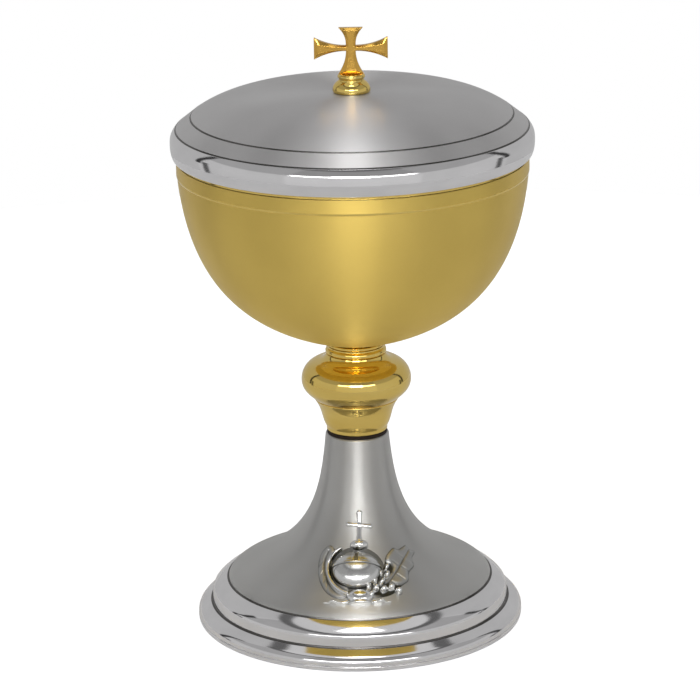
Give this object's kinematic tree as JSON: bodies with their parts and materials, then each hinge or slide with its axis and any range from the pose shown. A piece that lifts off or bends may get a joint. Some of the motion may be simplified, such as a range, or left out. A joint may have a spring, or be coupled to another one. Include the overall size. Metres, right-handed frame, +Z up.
{
  "type": "ciborium",
  "caption": "Covered ciborium: a round gilt cup on a turned knop, a silvered trumpet foot with a cast orb emblem, and a lift-off domed lid with a cross finial, for keeping altar breads.",
  "frame": {"origin": "centre of the circle that the foot rests on, at the bottom of the object", "axes": "+Z up the stem through the cross on the lid; -Y towards the side with the emblem; the cross's arms lie along X"},
  "size_m": [0.1302, 0.1302, 0.221],
  "materials": {
    "gilt_satin": "fine satin turning marks, gold plated",
    "gilt_polished": "polished, gold plated",
    "silver_satin": "fine satin turning marks, silver plated",
    "silver_polished": "polished, silver plated",
    "fastener_steel": "plain zinc-plated steel",
    "black_fibre": "matt"
  },
  "bodies": {
    "vessel": {"foot_shell": "silver_satin", "emblem": "silver_polished", "emblem_post_upper": "fastener_steel", "emblem_post_lower": "fastener_steel", "emblem_nut_upper": "fastener_steel", "emblem_nut_lower": "fastener_steel", "stem_washer": "black_fibre", "knop_ferrule": "gilt_polished", "knop": "gilt_polished", "collar_lower": "gilt_polished", "collar_upper": "gilt_polished", "cup_socket": "gilt_polished", "cup_bowl": "gilt_satin", "tie_rod": "fastener_steel", "tie_washer": "fastener_steel", "lock_washer": "fastener_steel", "tie_nut": "fastener_steel"},
    "lid": {"lid_shell": "silver_satin", "finial_base": "gilt_polished", "finial_cross": "gilt_polished", "finial_stud": "fastener_steel", "finial_washer": "fastener_steel", "finial_nut": "fastener_steel"}
  },
  "joints": [
    {"name": "lid_lift", "type": "slide", "parent": "vessel", "child": "lid", "axis": [0, 0, 1], "range_m": [0, 0.1]}
  ]
}
